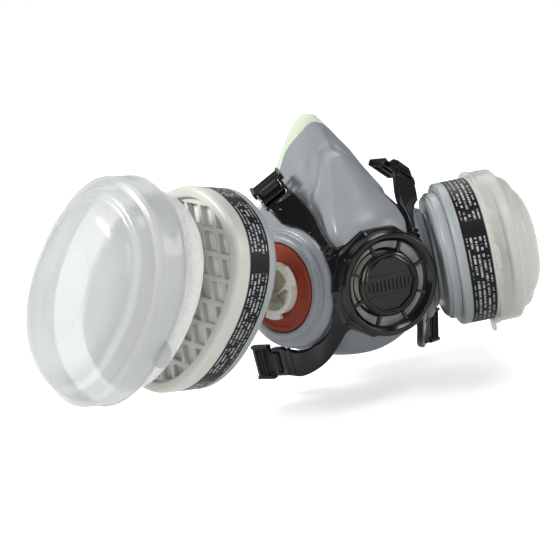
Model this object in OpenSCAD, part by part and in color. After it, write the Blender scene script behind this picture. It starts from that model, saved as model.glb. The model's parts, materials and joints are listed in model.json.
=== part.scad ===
// Half-face respirator with two screw-in filter cartridges, clip-on
// particulate pads and a central exhalation valve. The right cartridge is
// locked on its port; the left one is unlocked, lifted off and pulled apart.
// Millimetres. +Z up, the wearer's face is towards +Y, the front is -Y,
// "right" is +X. The origin is the middle of the face opening.

/* [Facepiece] */
// Height of the nose tip above the origin
nose_z = 80; // [76:1:84]
// Largest half width of the soft facepiece
cheek_w = 50; // [47:0.5:53]
// Depth from the face opening to the valve wall
front_y = 66; // [64:0.5:68]
// Wall thickness of the soft facepiece
wall = 2.6; // [2:0.1:3.5]

/* [Filter ports] */
// Distance of each port centre from the middle plane
port_x = 43.62; // [42:0.1:45]
// Depth of each port centre in front of the face opening
port_y = 38.73; // [37:0.1:40]
// Height of each port centre above the origin
port_z = 0.56; // [-2:0.1:3]
// Angle of the port axis forward of straight sideways
port_yaw = 23.17; // [20:0.1:26]
// Upward tilt of the port axis
port_tilt = 5.38; // [3:0.1:8]
// Outer radius of the round gasket
gasket_r = 22; // [20:0.5:23]
// Outer radius of the bayonet tube
tube_r = 13; // [12:0.5:13.5]

/* [Cartridge] */
// Half length of the oval cartridge
cart_half_length = 49.5; // [46:0.5:52]
// Half width of the oval cartridge
cart_half_width = 37; // [34:0.5:39]
// Squareness of the oval, 2 is an ellipse
oval_squareness = 2.25; // [2:0.05:2.6]
// Twist between unlocked and locked
twist_deg = 60; // [50:1:60]
// Lean of the long axis from vertical when locked
locked_lean = 95; // [80:1:100]

/* [Display pose] */
// Distance the left cartridge is lifted off its port
lift_mm = 38; // [20:1:40]
// Tilt gained by the left cartridge while it is lifted off
lift_tilt = 7; // [5:0.5:12]
// Distance the left pad stands off its cartridge
pad_off = 15; // [10:1:20]
// Distance the left retainer stands off its cartridge
retainer_off = 37; // [25:1:42]

/* [Exhalation valve] */
// Outer radius of the round front cover
cover_r = 25.5; // [24:0.5:26]
// Radius of the ring of exhalation openings
cover_open_r = 20.8; // [19:0.1:22]
// Radius of the closed middle plate of the cover
cover_plate_r = 15.8; // [14:0.1:17]

/* [Hidden] */
$fn = 72;

sides = [-1, 1];       // left, right
pin_r = 0.9;           // pins that hold the valve flaps
flap_hole_r = 0.97;
gasket_seat_z = -3.05; // floor of the gasket recess, in the port frame
cartridge_gap = 0.25;  // between port face and seated cartridge
unlocked_lean = locked_lean - twist_deg;

// Colours used by more than one node
flap_colour = [0.75, 0.73, 0.66];
connector_colour = [0.85, 0.84, 0.80];
gasket_colour = [0.52, 0.16, 0.10];
buckle_colour = [0.08, 0.08, 0.09];
canister_colour = [0.62, 0.65, 0.66];
back_cover_colour = [0.58, 0.61, 0.62];
label_colour = [0.07, 0.07, 0.08];
grille_colour = [0.80, 0.80, 0.74];
carbon_colour = [0.10, 0.10, 0.10];
screen_colour = [0.82, 0.82, 0.80];
pad_colour = [0.93, 0.93, 0.91];
retainer_colour = [0.88, 0.90, 0.91];

// ---------- small helpers ----------
function unit(v) = v / norm(v);

// Sine or cosine bent towards a squarer oval
function squared(v, squareness) = sign(v) * pow(abs(v), 2 / squareness);

// Two triangles that fill a four-sided face
function quad(a, b, c, d) = [[a, b, c], [a, c, d]];

// Disc along Z
module disc(r, z0, z1) {
    translate([0, 0, z0]) cylinder(h = z1 - z0, r = r);
}

// Round tube along Z
module tube(outer_r, inner_r, z0, z1) {
    translate([0, 0, z0]) linear_extrude(z1 - z0) difference() {
        circle(outer_r);
        circle(inner_r);
    }
}

// Sector of a ring, half_angle to each side of +X
module lug(inner_r, outer_r, half_angle, z0, z1) {
    reach = 2 * outer_r;
    translate([0, 0, z0]) linear_extrude(z1 - z0) intersection() {
        difference() {
            circle(outer_r);
            circle(inner_r);
        }
        polygon([[0, 0], [reach, -reach * tan(half_angle)], [reach, reach * tan(half_angle)]]);
    }
}

// Round bar along X, centred
module cross_bar(r, half_length) {
    rotate([0, 90, 0]) disc(r, -half_length, half_length);
}

// Block centred on X
module block(width, y, length, z, height) {
    translate([-width / 2, y, z]) cube([width, length, height]);
}

// Bar running along +X from x, centred on Y
module spoke(x, length, width, z, height) {
    translate([x, -width / 2, z]) cube([length, width, height]);
}

// Evenly spaced copies about Z
module around(count, first = 0) {
    for (i = [0 : count - 1]) rotate([0, 0, first + 360 * i / count]) children();
}

// ---------- frames ----------
// Z points out of the front
module facing_front() {
    rotate([90, 0, 0]) children();
}

// Right-hand children, mirrored when side is -1
module on_side(side) {
    mirror([side < 0 ? 1 : 0, 0, 0]) children();
}

// Port frame: Z points out of the port, -X points up
module at_port(side) {
    translate([side * port_x, -port_y, port_z])
        rotate([0, 90 - port_tilt, side > 0 ? -port_yaw : 180 + port_yaw]) children();
}

// Cartridge frame: Z out, X along the long axis, lean measured from vertical
module at_cartridge(side, lean) {
    at_port(side) translate([0, 0, cartridge_gap]) rotate([0, 0, 180 - lean]) children();
}

// Left port: centre, outward axis, upward and backward directions
port_centre = [-port_x, -port_y, port_z];
port_out = [-cos(port_tilt) * cos(port_yaw), -cos(port_tilt) * sin(port_yaw), sin(port_tilt)];
port_up = unit([0, 0, 1] - port_out * port_out[2]);
port_back = cross(port_out, port_up);

// The lift-off is an arc: the port centre moves lift_mm along lift_dir
lift_skew = 4; // turn of the tilt direction from up towards the front
tilt_dir = port_up * cos(lift_skew) - port_back * sin(lift_skew);
lift_axis = unit(cross(port_out, tilt_dir));
lift_dir = port_out * cos(lift_tilt) + cross(lift_axis, port_out) * sin(lift_tilt);
// Centre of the arc, equally far from the seated and the lifted cartridge
lift_centre = port_centre + lift_dir * lift_mm / 2
    + unit(cross(lift_axis, lift_dir)) * (lift_mm / 2) / tan(lift_tilt / 2);

module at_left() {
    translate(lift_centre) rotate(a = lift_tilt, v = lift_axis) translate(-lift_centre)
        at_cartridge(-1, unlocked_lean) children();
}

module at_right() {
    at_cartridge(1, locked_lean) children();
}

// ---------- facepiece ----------
chin_z = -43;
shell_cols = 22; // steps around the shell, rim to rim

// Columns: height, half width, front y, rim y, squareness
stations = [
    [chin_z, 11, -36, -16, 2.0],
    [-40, 25.5, -46, -13, 2.0],
    [-33, 37, -54.5, -9, 2.1],
    [-20, 0.92 * cheek_w, -0.93 * front_y, -3, 2.2],
    [0, cheek_w, -front_y, 2, 2.3],
    [15, 0.95 * cheek_w, -front_y, 3, 2.2],
    [28, 38, -62.5, 3, 2.0],
    [40, 28.3, -50.5, 1, 1.85],
    [52, 20.8, -37.5, -1, 1.8],
    [64, 14.8, -24.5, -2, 1.8],
    [74, 8.8, -13.5, -2.5, 1.9],
    [nose_z, 3.5, -7, -3, 2]];
HALF_WIDTH = 1;
FRONT_Y = 2;
RIM_Y = 3;
SQUARENESS = 4;

function station_below(z, i = 0) =
    i >= len(stations) - 2 || stations[i + 1][0] > z ? i : station_below(z, i + 1);

// Slope of a column at station i, from its neighbours
function slope(i, column) =
    let (low = stations[max(0, i - 1)], high = stations[min(len(stations) - 1, i + 1)])
    (high[column] - low[column]) / (high[0] - low[0]);

// Smooth cubic reading of a column at height z
function profile(z, column) =
    let (i = station_below(z), low = stations[i], high = stations[i + 1],
         step = high[0] - low[0], t = (z - low[0]) / step)
    low[column] * (2 * t * t * t - 3 * t * t + 1)
    + slope(i, column) * step * (t * t * t - 2 * t * t + t)
    + high[column] * (-2 * t * t * t + 3 * t * t)
    + slope(i + 1, column) * step * (t * t * t - t * t);

// One shell point; angle runs 0..180 from the right rim over the front to the left rim
function shell_point(z, angle, inset, back) =
    let (half_width = max(0.8, profile(z, HALF_WIDTH) - inset),
         front = profile(z, FRONT_Y) + inset * 1.1,
         rim = profile(z, RIM_Y) + back,
         squareness = profile(z, SQUARENESS))
    [half_width * squared(cos(angle), squareness),
     rim - max(1, rim - front) * squared(sin(angle), squareness),
     z];

// Solid inside the shell surface, closed across its rim.
// inset shrinks it, back moves its rim towards the face.
module shell_solid(z0, z1, rows, inset, back) {
    cols = shell_cols;
    row = cols + 1; // points in one row
    points = [for (i = [0 : rows]) for (j = [0 : cols])
        shell_point(z0 + (z1 - z0) * i / rows, 180 * j / cols, inset, back)];
    outside = [for (i = [0 : rows - 1]) for (j = [0 : cols - 1])
        let (low = i * row + j, high = low + row) each quad(low, low + 1, high + 1, high)];
    rear = [for (i = [0 : rows - 1])
        let (low = i * row, high = low + row) each quad(low + cols, low, high, high + cols)];
    bottom = [for (j = [cols : -1 : 0]) j];
    top = [for (j = [0 : cols]) rows * row + j];
    polyhedron(points = points, faces = concat(outside, rear, [bottom], [top]), convexity = 6);
}

// Raised round port surround with the gasket recess: radius, height
port_surround = [
    [14.3, -9.5], [29, -9.5], [31.2, -8], [31.6, -6], [30.6, -4.4], [26, -1.6],
    [24.6, -0.2], [22.5, -0.2], [22.5, gasket_seat_z], [14.3, gasket_seat_z]];

// Soft shell with two port surrounds and the valve opening
module facepiece_shell() {
    color([0.58, 0.60, 0.63]) difference() {
        union() {
            difference() {
                shell_solid(chin_z, nose_z, rows = 26, inset = 0, back = 0);
                shell_solid(chin_z + wall, nose_z - wall, rows = 24, inset = wall, back = 8);
            }
            for (side = sides) at_port(side) rotate_extrude() polygon(port_surround);
        }
        for (side = sides) at_port(side) {
            disc(tube_r + 1.25, -30, 10);
            disc(gasket_r + 0.1, gasket_seat_z, gasket_seat_z + 12);
        }
        facing_front() disc(17.4, 48, 88);
    }
}

// Soft sealing lip rolled inward behind the rim
module face_seal_lip() {
    z0 = chin_z + 1;
    z1 = nose_z - 1;
    steps = 30;
    roll = 5.5;     // inward reach of the lip
    roll_back = 3.2; // how far the inner edge lies behind the outer one
    centre_z = 8;   // height the lip rolls towards
    right = [for (i = [0 : steps]) let (z = z0 + (z1 - z0) * i / steps)
        [max(0.9, profile(z, HALF_WIDTH) - 0.3), profile(z, RIM_Y) + 0.2, z]];
    left = [for (i = [steps : -1 : 0]) [-right[i][0], right[i][1], right[i][2]]];
    outer = concat(right, left);
    inner = [for (p = outer)
        let (shrink = 1 - roll / max(9, norm([p[0], p[2] - centre_z])))
        [p[0] * shrink, p[1] + roll_back, (p[2] - centre_z) * shrink + centre_z]];
    count = len(outer);
    // Loops in order: outer front, outer rear, inner front, inner rear
    points = concat(outer, [for (p = outer) p + [0, 1.5, 0]],
                    inner, [for (p = inner) p + [0, 1.2, 0]]);
    joined_loops = [[0, 1], [1, 3], [3, 2], [2, 0]];
    faces = [for (i = [0 : count - 1]) for (pair = joined_loops)
        let (next = (i + 1) % count, a = pair[0] * count, b = pair[1] * count)
        each quad(a + i, a + next, b + next, b + i)];
    color([0.80, 0.84, 0.80]) polyhedron(points = points, faces = faces, convexity = 6);
}

// ---------- yoke ----------
arm_thick = 3.4;
arm_bar_half = 6.6; // half length of the bar at the end of an arm

// Right-hand arms, housing end first: point on upper edge, point on lower edge
upper_arm = [
    [[15.5, -67, 9], [24.5, -64, -1]],
    [[20, -66.3, 15.5], [29.2, -61.5, 8]],
    [[23.6, -58, 25], [33.8, -50.5, 21.5]],
    [[24.2, -48.5, 36], [37.9, -42.5, 31.1]],
    [[27.8, -40.5, 44], [40.9, -36, 37.5]],
    [[31.8, -33.7, 50.3], [43.0, -29.2, 42.6]]];
lower_arm = [
    [[24.5, -66.5, 4], [17, -67.5, -8]],
    [[26.2, -64.5, -12], [20.5, -66, -20]],
    [[28, -58.5, -23.5], [25.9, -56.5, -34]],
    [[32, -48, -30.5], [30.5, -47.5, -42.4]],
    [[37.4, -40.5, -33.6], [36, -39, -47.2]],
    [[43.6, -31.2, -32.4], [42, -32, -46.6]]];

// Strip between the edges of an arm, thickened towards the face
module arm_strip(arm) {
    last = len(arm) - 1;
    function middle(i) = arm[i][0] + arm[i][1]; // twice the midpoint
    points = [for (i = [0 : last])
        let (upper = arm[i][0], lower = arm[i][1],
             run = middle(min(last, i + 1)) - middle(max(0, i - 1)),
             inward = unit(cross(run, lower - upper)) * arm_thick)
        each [upper, lower, lower + inward, upper + inward]];
    body = [for (i = [0 : last - 1]) for (edge = [0 : 3])
        let (next = (edge + 1) % 4, a = 4 * i, b = a + 4)
        each quad(a + edge, b + edge, b + next, a + next)];
    ends = [[0, 1, 2, 3], [for (k = [3 : -1 : 0]) 4 * last + k]];
    polyhedron(points = points, faces = concat(body, ends), convexity = 4);
}

// Frame at the end of an arm: X across it, Y along it, Z outward
module at_arm(arm, side) {
    tip = arm[len(arm) - 1];
    before = arm[len(arm) - 2];
    across = unit(tip[1] - tip[0]);
    run = tip[0] + tip[1] - before[0] - before[1];
    along = unit(run - across * (run * across));
    outward = cross(across, along);
    origin = (tip[0] + tip[1]) / 2 - outward * arm_thick / 2 + along * 3.2;
    axes = [for (i = [0 : 2]) [across[i], along[i], outward[i], origin[i]]];
    on_side(side) multmatrix(concat(axes, [[0, 0, 0, 1]])) children();
}

// Two prongs and the round bar a buckle hooks on
module arm_end() {
    for (side = sides) translate([side * arm_bar_half, 0, 0])
        block(width = 1.8, y = -5, length = 6.4, z = -1.6, height = 3.2);
    cross_bar(1.3, arm_bar_half);
}

// Ten-sided plate and round housing with four arms
module front_yoke() {
    color([0.07, 0.07, 0.08]) difference() {
        union() {
            facing_front() {
                disc(28.4, 62.5, 70.5, $fn = 10);
                disc(26, 62.5, 73.5);
            }
            for (side = sides) for (arm = [upper_arm, lower_arm]) {
                on_side(side) arm_strip(arm);
                at_arm(arm, side) arm_end();
            }
        }
        facing_front() disc(16.6, 45, 85);
        facing_front() disc(22.2, 69, 89);
    }
}

// Knuckle on the bar, toothed strap plate with two slots
module buckle() {
    knuckle_half = 5.2;
    difference() {
        union() {
            cross_bar(2.5, knuckle_half);
            block(width = 2 * knuckle_half, y = 0, length = 4.2, z = -1.3, height = 2.6);
            block(width = 18, y = 3.6, length = 11, z = -1.3, height = 2.6);
            for (i = [0 : 3])
                block(width = 14.4, y = 4.4 + 2.5 * i, length = 1, z = 1.2, height = 0.9);
        }
        cross_bar(1.38, 12);
        for (y = [5.6, 10.4]) block(width = 13.6, y = y, length = 2.2, z = -3, height = 8);
    }
}

// Buckle swung about the bar of an arm
module hung_buckle(arm, side, swing) {
    at_arm(arm, side) rotate([swing, 0, 0]) buckle();
}

module upper_left_buckle() { color(buckle_colour) hung_buckle(upper_arm, -1, swing = -42); }
module upper_right_buckle() { color(buckle_colour) hung_buckle(upper_arm, 1, swing = -60); }
module lower_left_buckle() { color(buckle_colour) hung_buckle(lower_arm, -1, swing = -6); }
module lower_right_buckle() { color(buckle_colour) hung_buckle(lower_arm, 1, swing = 20); }

// ---------- exhalation valve, Z is the distance in front of the origin ----------
// Collar, sealing ring, spokes, and the hub and pin that hold the flap
module exhalation_valve_seat() {
    color([0.16, 0.16, 0.17]) facing_front() {
        tube(16.5, 13.2, 56, 66);
        tube(13.5, 12.2, 64.4, 66.4);
        disc(2.2, 64, 66);
        disc(pin_r, 65, 69.6);
        disc(1.6, 69.2, 69.8);
        around(4, first = 45) spoke(x = 1, length = 12.4, width = 1.8, z = 64, height = 2);
    }
}

// Thin flap on the hub pin
module exhalation_valve() {
    color(flap_colour) facing_front() tube(15.2, flap_hole_r, 66.5, 67.2);
}

// Snap-on front cover: outer ring, middle plate and eight spokes
module exhalation_cover() {
    // Columns: radius, distance in front of the origin
    outer_ring = [
        [cover_open_r + 0.4, 69.1], [22.1, 69.1], [22.1, 73.6], [cover_r, 73.6],
        [cover_r, 75.4], [24.6, 76.4], [23.2, 76.4], [cover_open_r, 74.6]];
    middle_plate = [
        [0, 72.4], [cover_plate_r, 72.4], [cover_plate_r, 74.2],
        [cover_plate_r - 0.9, 75], [0, 75.2]];
    color([0.06, 0.06, 0.07]) facing_front() {
        rotate_extrude() polygon(outer_ring);
        rotate_extrude() polygon(middle_plate);
        around(8, first = 22.5)
            spoke(x = cover_plate_r - 0.6, length = 6.2, width = 1.6, z = 72.2, height = 2);
    }
}

// ---------- inhalation ports, in the port frame ----------
// Bayonet tube with three lugs outside, spokes and flap pin inside
module connector() {
    tube(tube_r, tube_r - 2.4, -7, 4);
    tube(tube_r, tube_r - 2.6, -11, -6.9);
    // Flange at the inner end
    tube(17.5, tube_r - 0.5, -11.6, -9.7);
    around(3) lug(tube_r - 0.4, 15.4, half_angle = 20, z0 = 1.9, z1 = 4);
    around(3, first = 60)
        spoke(x = 1.2, length = tube_r - 3, width = 1.6, z = -9, height = 1.8);
    // Hub, pin and pin head
    disc(2.4, -9, -7.2);
    disc(pin_r, -12.6, -8.2);
    disc(1.6, -12.8, -12.2);
}

module gasket() {
    bore_r = tube_r + 0.15;
    rotate_extrude() polygon([[bore_r, -3], [gasket_r, -3], [gasket_r, -0.4],
        [gasket_r - 0.6, 0], [tube_r + 0.7, 0], [bore_r, -0.5]]);
}

module inhalation_flap() {
    tube(10.2, flap_hole_r, -9.8, -9.2);
}

module left_inhalation_connector() { color(connector_colour) at_port(-1) connector(); }
module right_inhalation_connector() { color(connector_colour) at_port(1) connector(); }
module left_port_gasket() { color(gasket_colour) at_port(-1) gasket(); }
module right_port_gasket() { color(gasket_colour) at_port(1) gasket(); }
module left_inhalation_valve() { color(flap_colour) at_port(-1) inhalation_flap(); }
module right_inhalation_valve() { color(flap_colour) at_port(1) inhalation_flap(); }

// ---------- cartridge, in its own frame ----------
socket_r = 16.9;    // round opening in the back
back_top = 8;       // front face of the back cover
shell_top = 26;     // front edge of the canister
part_gap = 0.05;    // between stacked parts
band_z = [12.5, 24]; // label band, bottom and top
skirt_z = 25.4;     // rear edge of the retainer

// Cartridge outline moved in by inset; the half width is eased back out by widen
module outline(inset, widen = 0) {
    count = 52;
    polygon([for (i = [0 : count - 1]) let (angle = 360 * (i + 0.5) / count)
        [(cart_half_length - inset) * squared(cos(angle), oval_squareness),
         (cart_half_width - inset + widen) * squared(sin(angle), oval_squareness)]]);
}

// Oval slab along Z
module slab(inset, z0, z1, widen = 0) {
    translate([0, 0, z0]) linear_extrude(z1 - z0) outline(inset, widen);
}

// Oval ring along Z
module ring(inset, thick, z0, z1) {
    translate([0, 0, z0]) linear_extrude(z1 - z0) difference() {
        outline(inset);
        outline(inset + thick);
    }
}

// Sealing ring, shallow oval lid, collar and bayonet tabs
module back_cover() {
    difference() {
        union() {
            tube(23, socket_r, 0, 2.2);
            slab(5.5, 1.8, 3.4);
            slab(4, 3.2, back_top);
        }
        disc(socket_r, -1, 19);
        slab(6, 4.8, back_top + 1);
    }
    tube(18.4, socket_r, 1, back_top);
    // The tabs stand between the port lugs when the cartridge is unlocked
    around(3, first = unlocked_lean - 180 + 60)
        lug(14.1, 17.2, half_angle = 19, z0 = 0.25, z1 = 1.2);
}

// Oval canister, open at the front, with a groove for the label band
module cartridge_shell() {
    difference() {
        slab(0, back_top + part_gap, shell_top);
        slab(1.8, 10, shell_top + 1);
        disc(socket_r, 7, 13);
        ring(-1, thick = 1.45, z0 = band_z[0] - 0.1, z1 = band_z[1] + 0.1);
    }
}

module label_band() {
    ring(0.02, thick = 0.36, z0 = band_z[0], z1 = band_z[1]);
}

// Parallel bars along Y, count on each side of the middle one
module grille_bars(count, pitch, half_length, height) {
    for (i = [-count : count]) translate([i * pitch, 0, 0])
        block(width = 1.4, y = -half_length, length = 2 * half_length, z = 27, height = height);
}

// Front rim with its recessed lattice
module face_grille() {
    ring(0, thick = 5, z0 = shell_top + part_gap, z1 = 32);
    intersection() {
        slab(4.6, 27, 29.4);
        union() {
            grille_bars(count = 5, pitch = 9, half_length = 45, height = 2.2);
            rotate([0, 0, 58])
                grille_bars(count = 7, pitch = 10, half_length = 60, height = 2.4);
        }
    }
}

// Oval block with a round recess in its back
module carbon_bed() {
    difference() {
        slab(2.4, 11.2, 25.8);
        disc(16, 10, 12.2);
    }
}

// Flat ring with three crossing bars in its hole
module outlet_screen() {
    tube(15.2, 3, 5, 5.8);
    for (angle = [30, 90, 150]) rotate([0, 0, angle])
        spoke(x = -3.4, length = 6.8, width = 0.8, z = 5, height = 0.8);
}

// Felt pad in front of the rim
module filter_pad() {
    slab(2.8, 32.3, 35.2);
}

// Flat rounded tab sticking out past a point on the cartridge edge
module pull_tab(edge) {
    outward = unit(edge);
    hull() {
        translate(concat(edge + 2 * outward, skirt_z)) cylinder(h = 1.6, r = 6);
        translate(concat(edge - 8 * outward, skirt_z)) cylinder(h = 1.6, r = 9);
    }
}

// Clip-on retainer: skirt, shoulder, stepped dome and pull tabs
module filter_retainer() {
    difference() {
        union() {
            slab(-2, skirt_z, 37);
            hull() {
                slab(1.5, 36.5, 38);
                slab(4, 43, 43.6);
            }
            hull() {
                slab(8, 43, 44.4, widen = 0.5);
                slab(14, 48.4, 49, widen = 1);
            }
            pull_tab([-cart_half_length, 0]);
            pull_tab([0, -cart_half_width]);
        }
        // Hollow behind the skirt, shoulder and dome
        slab(-0.7, 24, 35.8);
        slab(3.2, 35, 38.2);
        hull() {
            slab(4.4, 38, 38.4);
            slab(6, 41.8, 42.2);
        }
        hull() {
            slab(10, 42, 43, widen = 0.5);
            slab(16, 47, 47.4, widen = 1);
        }
        // Slots through the shoulder
        for (i = [-2 : 2]) translate([i * 9, 0, 0])
            block(width = 4, y = -cart_half_width, length = 2 * cart_half_width,
                  z = 39.4, height = 2);
    }
}

module left_cartridge_shell() { color(canister_colour) at_left() cartridge_shell(); }
module left_cartridge_back_cover() { color(back_cover_colour) at_left() back_cover(); }
module left_label_band() { color(label_colour) at_left() label_band(); }
module left_face_grille() { color(grille_colour) at_left() face_grille(); }
module left_carbon_bed() { color(carbon_colour) at_left() carbon_bed(); }
module left_outlet_screen() { color(screen_colour) at_left() outlet_screen(); }
module left_filter_pad() {
    color(pad_colour) at_left() translate([0, 0, pad_off]) filter_pad();
}
module left_filter_retainer() {
    color(retainer_colour) at_left() translate([0, 0, retainer_off]) filter_retainer();
}
module right_cartridge_shell() { color(canister_colour) at_right() cartridge_shell(); }
module right_cartridge_back_cover() { color(back_cover_colour) at_right() back_cover(); }
module right_label_band() { color(label_colour) at_right() label_band(); }
module right_face_grille() { color(grille_colour) at_right() face_grille(); }
module right_carbon_bed() { color(carbon_colour) at_right() carbon_bed(); }
module right_outlet_screen() { color(screen_colour) at_right() outlet_screen(); }
module right_filter_pad() { color(pad_colour) at_right() filter_pad(); }
module right_filter_retainer() { color(retainer_colour) at_right() filter_retainer(); }

facepiece_shell();
face_seal_lip();
front_yoke();
exhalation_valve_seat();
exhalation_valve();
exhalation_cover();
left_inhalation_connector();
right_inhalation_connector();
left_port_gasket();
right_port_gasket();
left_inhalation_valve();
right_inhalation_valve();
upper_left_buckle();
upper_right_buckle();
lower_left_buckle();
lower_right_buckle();
left_cartridge_shell();
left_cartridge_back_cover();
left_label_band();
left_face_grille();
left_carbon_bed();
left_outlet_screen();
left_filter_pad();
left_filter_retainer();
right_cartridge_shell();
right_cartridge_back_cover();
right_label_band();
right_face_grille();
right_carbon_bed();
right_outlet_screen();
right_filter_pad();
right_filter_retainer();
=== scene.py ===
# Half-face respirator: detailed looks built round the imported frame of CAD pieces.
# X runs across the mask (right-hand parts at +X), -Y is the front and +Z is up.
# The right cartridge sits locked on its port. The left one is lifted off, with its felt pad
# and retainer drawn apart. Lengths are millimetres until make() turns them into metres.
import json
import math

import bpy
import numpy as np
from mathutils import Vector, Matrix
from mathutils.bvhtree import BVHTree


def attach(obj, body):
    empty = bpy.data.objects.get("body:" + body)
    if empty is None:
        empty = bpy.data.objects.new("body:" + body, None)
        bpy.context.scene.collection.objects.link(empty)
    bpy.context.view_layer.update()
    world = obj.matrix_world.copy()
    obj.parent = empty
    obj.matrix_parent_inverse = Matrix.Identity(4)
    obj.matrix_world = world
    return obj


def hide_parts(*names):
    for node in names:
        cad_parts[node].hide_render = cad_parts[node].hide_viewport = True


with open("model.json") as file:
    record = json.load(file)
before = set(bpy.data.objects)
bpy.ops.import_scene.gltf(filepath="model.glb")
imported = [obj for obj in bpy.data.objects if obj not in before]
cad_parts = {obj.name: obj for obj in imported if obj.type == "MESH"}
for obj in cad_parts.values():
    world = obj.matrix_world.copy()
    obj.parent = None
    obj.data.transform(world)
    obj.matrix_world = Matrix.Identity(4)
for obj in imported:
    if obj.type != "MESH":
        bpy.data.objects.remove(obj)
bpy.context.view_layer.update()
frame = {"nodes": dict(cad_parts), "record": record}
CAD_PIECES = frame["nodes"]
JOINTS = {joint["name"]: joint for joint in frame["record"]["behaviour"]["joints"]}
GRID_SCALE = 1.0  # multiplies the field grids' steps; above 1 gives coarser grids for a quick build

# ------------------------------------------------------------------ shared sizes
CHEEK, FRONT, NOSE = 50.0, 66.0, 80.0  # facepiece half width, depth and top height
WALL = 2.6
BORE_R = 14.3  # hole through each port
GASKET_R = 22.0
GASKET_DEPTH = 3.05  # recess that holds the gasket
CASE_A, CASE_B, CASE_POWER = 49.5, 37.0, 2.25  # cartridge oval: half length, half width, exponent
CARTRIDGE_GAP = 0.25  # between port and cartridge back
COVER_R, COVER_OPEN_R, PLATE_R = 25.5, 20.8, 15.8  # valve cover: rim, opening, middle plate
ARM_HALF = 1.7  # half the thickness of a yoke arm

LEFT, RIGHT = -1, 1  # signs of X
SIDES = {LEFT: "left", RIGHT: "right"}
MIRROR = [-1, 1, 1]


# ------------------------------------------------------------------ frames
def unit(vector):
    vector = np.asarray(vector, float)
    return vector / np.linalg.norm(vector)


def rotation(axis, degrees):
    x, y, z = unit(axis)
    angle = math.radians(degrees)
    cross = np.array([[0, -z, y], [z, 0, -x], [-y, x, 0]])
    return np.eye(3) + math.sin(angle) * cross + (1 - math.cos(angle)) * (cross @ cross)


class Frame:
    """A local frame: origin in mm, and a matrix whose columns are its X, Y and Z."""

    def __init__(self, origin, axes):
        self.origin = np.asarray(origin, float)
        self.axes = np.asarray(axes, float)

    def to_world(self, points):
        return self.origin + np.asarray(points, float) @ self.axes.T

    def to_local(self, points):
        return (np.asarray(points, float) - self.origin) @ self.axes

    def turned(self, degrees):
        return Frame(self.origin, self.axes @ rotation([0, 0, 1], degrees))

    def raised(self, height):
        return Frame(self.origin + self.axes[:, 2] * height, self.axes)


def port_frame(origin, normal):
    """Frame with Z along the port's outward normal and X pointing down."""
    normal = unit(normal)
    down = -unit(np.array([0, 0, 1.0]) - normal * normal[2])
    return Frame(origin, np.array([down, np.cross(normal, down), normal]).T)


def joint_place(name):
    return np.array(JOINTS[name]["pos_m"]) * 1000


def joint_travel(name):
    """Far end of a sliding joint's range, in mm."""
    return JOINTS[name]["range_m"][1] * 1000


twist = JOINTS["right_cartridge_twist"]
lift_off = JOINTS["left_cartridge_lift_off"]
port_place = joint_place("right_cartridge_twist")
port_normal = unit(twist["axis"])
PORT = {RIGHT: port_frame(port_place, port_normal),
        LEFT: port_frame(port_place * MIRROR, port_normal * MIRROR)}
LOCKED_LEAN = 95.0  # degrees the cartridge's long axis leans when locked
FREE_LEAN = LOCKED_LEAN - float(twist["range_deg"][1])
lifted_port = Frame(joint_place("left_cartridge_twist"),
                    rotation(lift_off["axis"], -lift_off["range_deg"][1]) @ PORT[LEFT].axes)
CARTRIDGE = {RIGHT: PORT[RIGHT].raised(CARTRIDGE_GAP).turned(180 - LOCKED_LEAN),
             LEFT: lifted_port.raised(CARTRIDGE_GAP).turned(180 - FREE_LEAN)}
PAD_TRAVEL = {RIGHT: 0.0, LEFT: joint_travel("left_pad_seat")}
RETAINER_TRAVEL = {RIGHT: 0.0, LEFT: joint_travel("left_retainer_clip")}
VALVE = Frame([0, 0, 0], np.array([[1, 0, 0], [0, 0, 1], [0, -1, 0]]).T)  # its Z is world -Y


# ------------------------------------------------------------------ meshes
# A mesh is a pair: points in mm, and faces as lists of indices.
def make(name, mesh, material, body, replaces=None, sharp=None):
    """Smooth-shaded object riding on a body; edges above `sharp` degrees stay hard."""
    points, faces = mesh
    data = bpy.data.meshes.new(name)
    data.from_pydata((np.asarray(points, float) * 0.001).tolist(), [], faces)
    data.validate(clean_customdata=False)
    data.update()
    item = bpy.data.objects.new(name, data)
    bpy.context.collection.objects.link(item)
    data.polygons.foreach_set("use_smooth", [True] * len(data.polygons))
    if sharp:
        data.set_sharp_from_angle(angle=math.radians(sharp))
    data.materials.append(material)
    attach(item, body)
    if replaces:
        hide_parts(replaces)
    return item


def join(meshes):
    points, faces, start = [], [], 0
    for some_points, some_faces in meshes:
        points.append(np.asarray(some_points))
        faces += [[i + start for i in face] for face in some_faces]
        start += len(some_points)
    return np.concatenate(points), faces


def rings_mesh(rings, capped=False):
    """Quads between equal rings: either capped at both ends, or last joined to first."""
    total, size = len(rings), len(rings[0])
    this = np.arange(size)
    following = (this + 1) % size
    faces = []
    for i in range(total - 1 if capped else total):
        a, b = i * size, ((i + 1) % total) * size
        quads = np.stack([a + this, a + following, b + following, b + this], 1)
        faces += quads.tolist()
    if capped:
        faces.append(list(range(size - 1, -1, -1)))
        faces.append([(total - 1) * size + i for i in range(size)])
    return np.concatenate(rings), faces


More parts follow.
